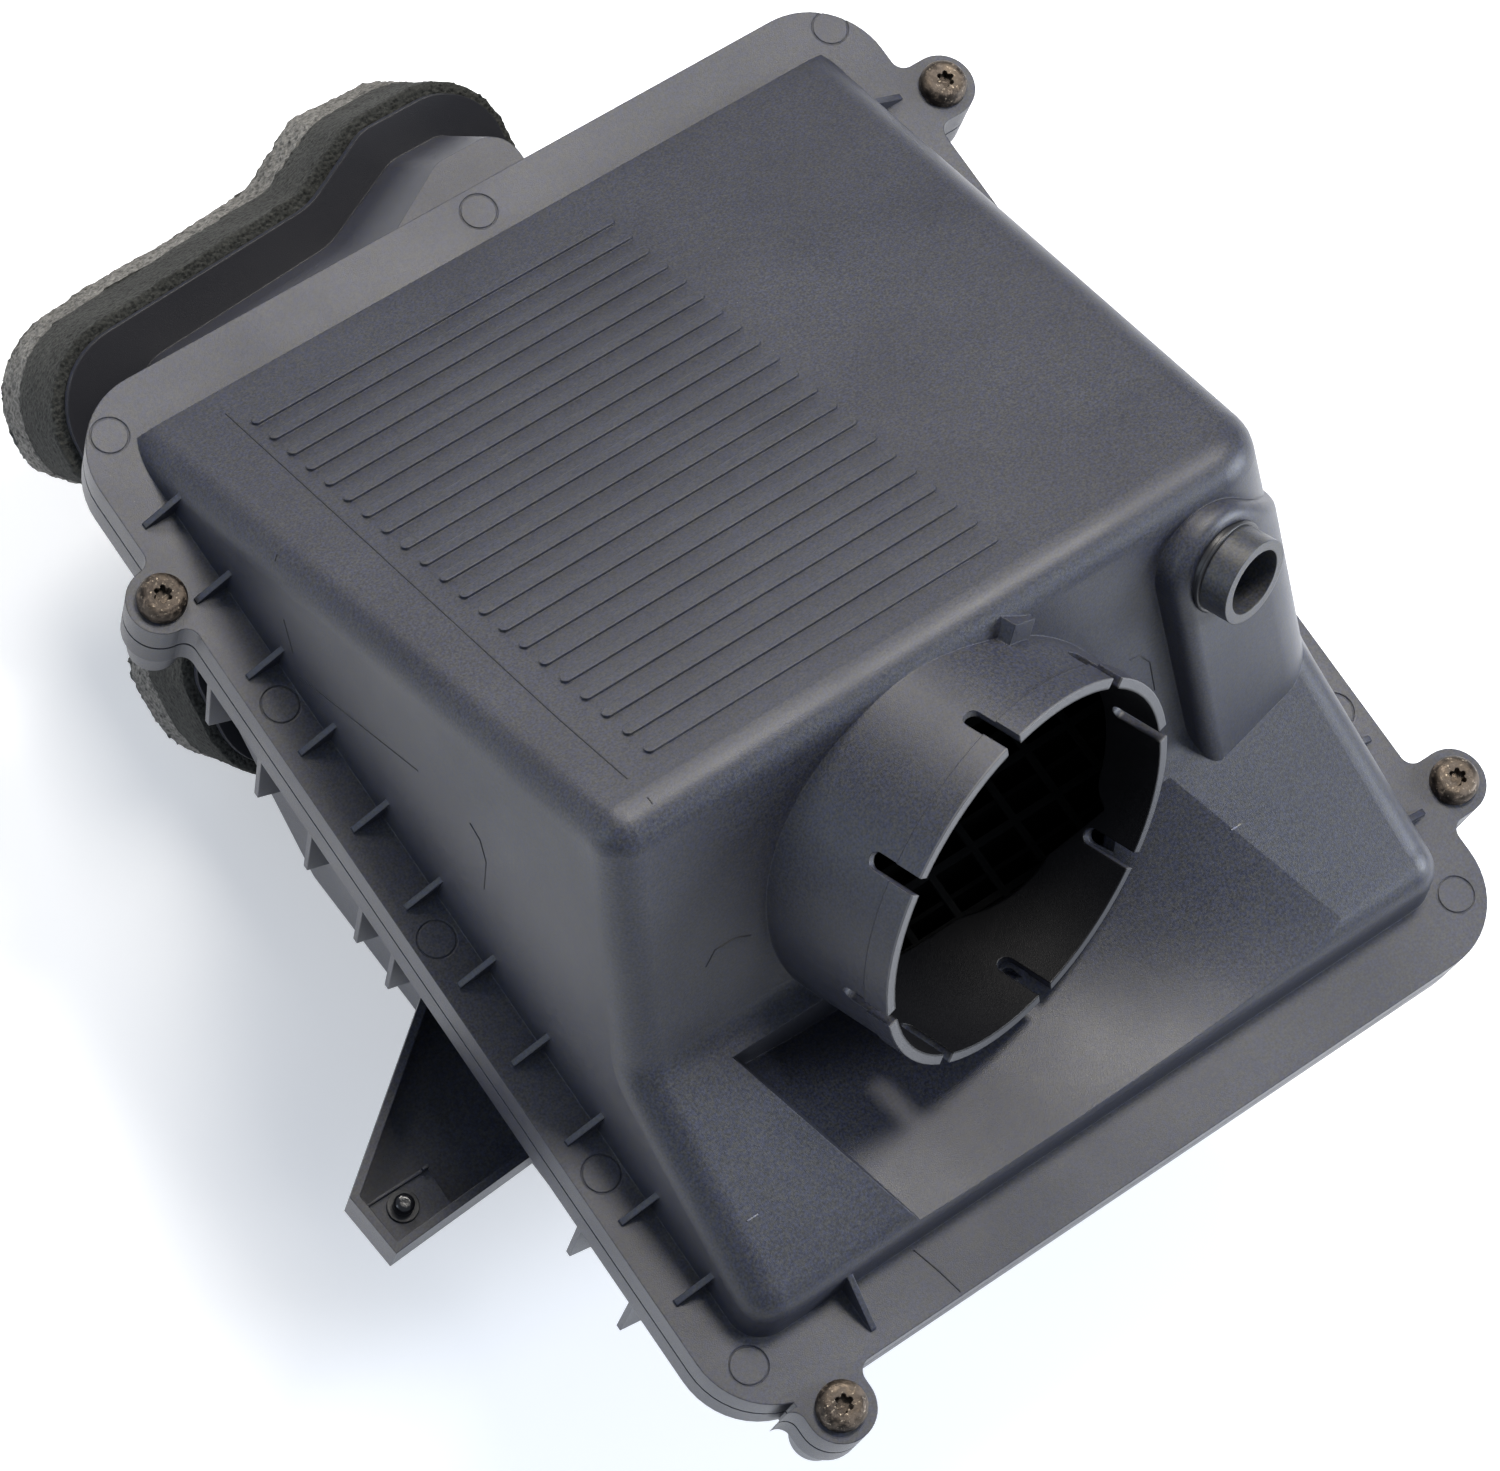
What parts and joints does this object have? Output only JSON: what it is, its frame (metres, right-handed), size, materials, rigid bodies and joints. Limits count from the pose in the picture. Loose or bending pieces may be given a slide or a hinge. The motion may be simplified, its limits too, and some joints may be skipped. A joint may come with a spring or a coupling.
{
  "type": "air filter housing",
  "caption": "Two-part plastic air filter housing with a sloped ribbed lid, round outlet duct, breather spigot, foam-sealed inlet mouth, mounting ear and panel filter.",
  "frame": {"origin": "centre of the bounding box's footprint, at the height of its lowest point", "axes": "+Z square to the lid's flange face, upwards; +Y from the outlet duct to the inlet mouth, along the longer flange side; +X away from the mounting ear"},
  "size_m": [0.3294, 0.4301, 0.287],
  "materials": {
    "housing_plastic": "fine grained black moulded plastic",
    "filter_rubber": "smooth urethane rubber",
    "filter_paper": "pleated filter paper",
    "screen_metal": "dull zinc",
    "foam_dense": "dense closed cell foam",
    "foam_open": "open cell foam",
    "tape": "adhesive film",
    "seal_rubber": "smooth black rubber",
    "spigot_plastic": "smooth black nylon",
    "plain_steel": "zinc plated",
    "retainer_nylon": "nylon",
    "insert_brass": "turned",
    "stud_steel": "black coated, glossy",
    "screw_steel": "dark zinc, worn"
  },
  "bodies": {
    "tray": {"tray_shell": "housing_plastic", "threaded_inserts": "insert_brass", "base_isolators": "seal_rubber", "ear_grommet": "seal_rubber", "ear_stud": "stud_steel", "seal_tape": "tape", "inlet_seal_dense": "foam_dense", "inlet_seal_open": "foam_open"},
    "filter": {"filter_seal": "filter_rubber", "filter_pleats": "filter_paper", "filter_screen": "screen_metal"},
    "lid": {"lid_shell": "housing_plastic", "breather_grommet": "seal_rubber", "breather_spigot": "spigot_plastic", "lid_bushings": "plain_steel", "screw_retainers": "retainer_nylon"},
    "screw_left": {"lid_screw_left": "screw_steel"},
    "screw_rear": {"lid_screw_rear": "screw_steel"},
    "screw_right": {"lid_screw_right": "screw_steel"},
    "screw_front": {"lid_screw_front": "screw_steel"}
  },
  "joints": [
    {"name": "lid_lift", "type": "slide", "parent": "tray", "child": "lid", "axis": [0, 0, 1], "range_m": [0, 0.2]},
    {"name": "filter_lift", "type": "slide", "parent": "tray", "child": "filter", "axis": [0, 0, 1], "range_m": [0, 0.1]},
    {"name": "screw_left_turn", "type": "hinge", "parent": "lid", "child": "screw_left", "pos_m": [-0.12675, 0.07934, 0.16617], "axis": [0, 0, 1], "continuous": true},
    {"name": "screw_rear_turn", "type": "hinge", "parent": "lid", "child": "screw_rear", "pos_m": [0.15475, 0.09674, 0.16617], "axis": [0, 0, 1], "continuous": true},
    {"name": "screw_right_turn", "type": "hinge", "parent": "lid", "child": "screw_right", "pos_m": [0.15475, -0.15556, 0.16617], "axis": [0, 0, 1], "continuous": true},
    {"name": "screw_front_turn", "type": "hinge", "parent": "lid", "child": "screw_front", "pos_m": [-0.09775, -0.20506, 0.16617], "axis": [0, 0, 1], "continuous": true}
  ],
  "couplings": [
    {"joint": "filter_lift", "follows": "lid_lift", "ratio": 0.5}
  ]
}
